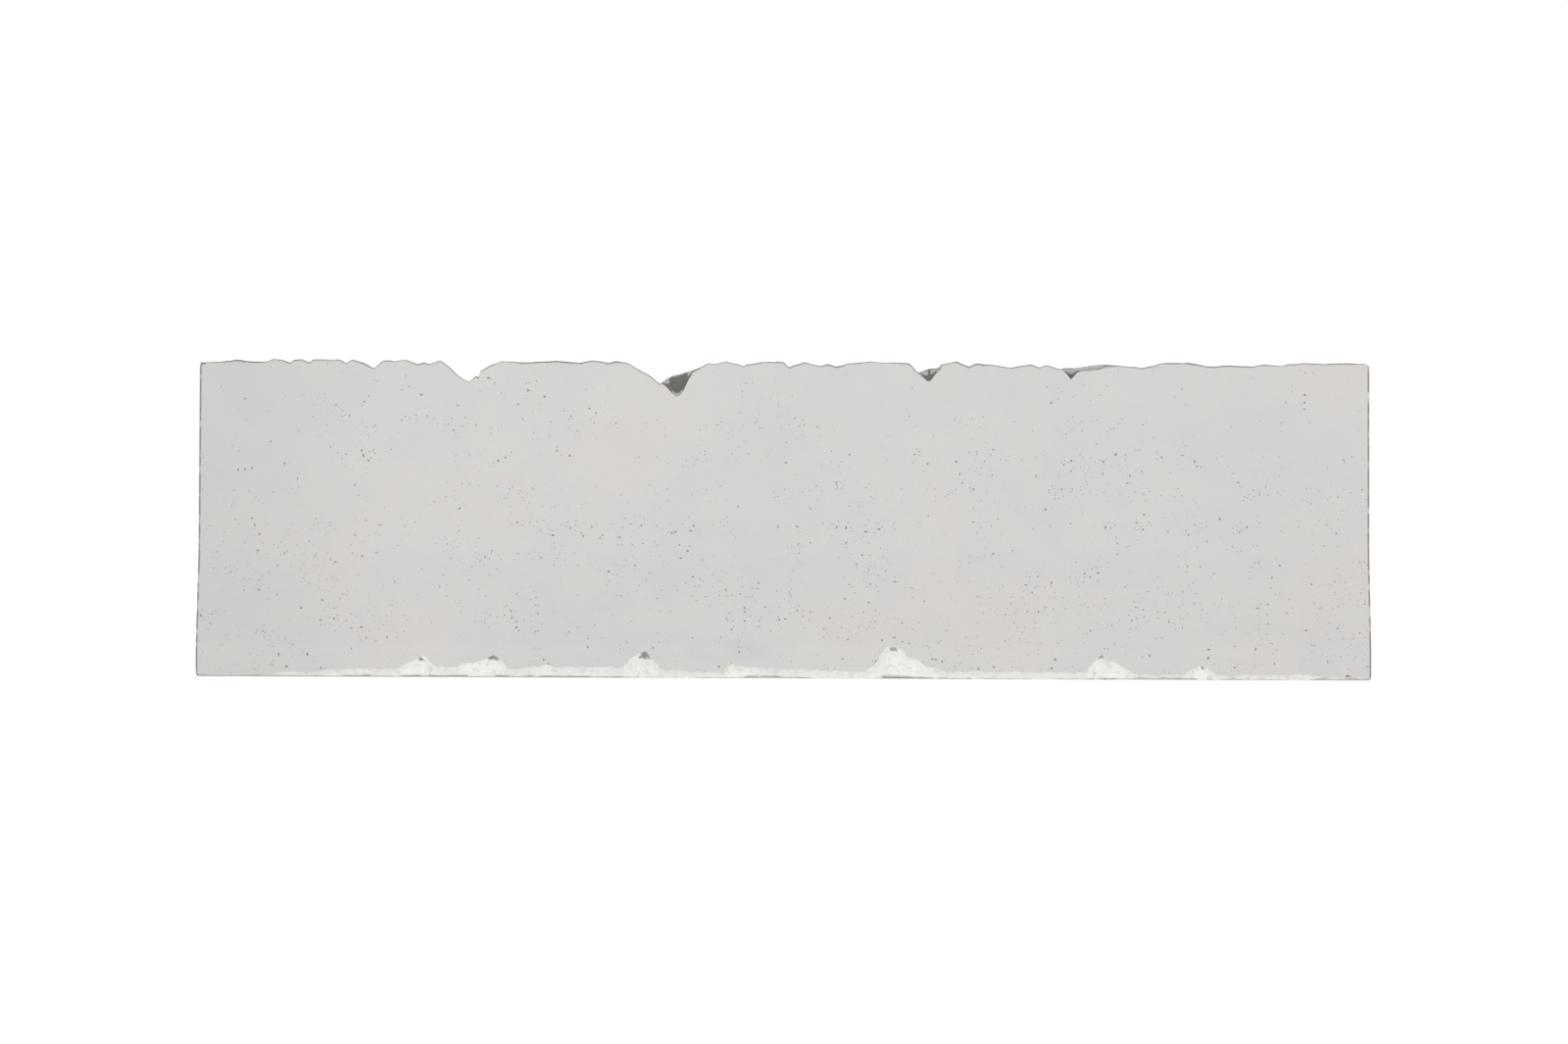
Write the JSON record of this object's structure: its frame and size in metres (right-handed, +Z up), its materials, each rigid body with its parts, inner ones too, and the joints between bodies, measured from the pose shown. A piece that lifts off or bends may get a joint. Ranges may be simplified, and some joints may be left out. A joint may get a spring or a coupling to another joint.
{
  "type": "concrete road barrier segment",
  "caption": "Precast concrete road barrier segment with a New Jersey section, steel key slots in its ends, lifting anchors in its crown and a cast-in steel cage.",
  "frame": {"origin": "middle of the underside, on the ground", "axes": "+X along the segment to its right end, -Y towards the front face, +Z up"},
  "size_m": [3, 0.61, 0.813],
  "materials": {
    "concrete": "pale grey cast concrete with fine air holes, faint mottling, dark weathered breaks on the crown and whitish fresh breaks along the foot",
    "reinforcing_steel": "mill scale with light brown rust",
    "slot_steel": "grey weathered hollow section with rust along its edges",
    "anchor_steel": "forged steel, dull, with rust specks",
    "spacer_mortar": "dense fibre mortar, a little darker than the concrete"
  },
  "bodies": {
    "root": {"concrete_body": "concrete", "foot_bar_front": "reinforcing_steel", "foot_bar_back": "reinforcing_steel", "base_bar_front": "reinforcing_steel", "base_bar_back": "reinforcing_steel", "waist_bar_front": "reinforcing_steel", "waist_bar_back": "reinforcing_steel", "stem_bar_front": "reinforcing_steel", "stem_bar_back": "reinforcing_steel", "crown_bar_front": "reinforcing_steel", "crown_bar_back": "reinforcing_steel", "stirrup_1": "reinforcing_steel", "stirrup_2": "reinforcing_steel", "stirrup_3": "reinforcing_steel", "stirrup_4": "reinforcing_steel", "stirrup_5": "reinforcing_steel", "stirrup_6": "reinforcing_steel", "stirrup_7": "reinforcing_steel", "stirrup_8": "reinforcing_steel", "stirrup_9": "reinforcing_steel", "stirrup_10": "reinforcing_steel", "stirrup_11": "reinforcing_steel", "stirrup_12": "reinforcing_steel", "slot_tube_left": "slot_steel", "slot_tube_right": "slot_steel", "seat_plate_left": "slot_steel", "seat_plate_right": "slot_steel", "tube_anchor_bars_left": "reinforcing_steel", "tube_anchor_bars_right": "reinforcing_steel", "lifting_anchor_left": "anchor_steel", "lifting_anchor_right": "anchor_steel", "cover_spacers": "spacer_mortar"}
  },
  "joints": []
}
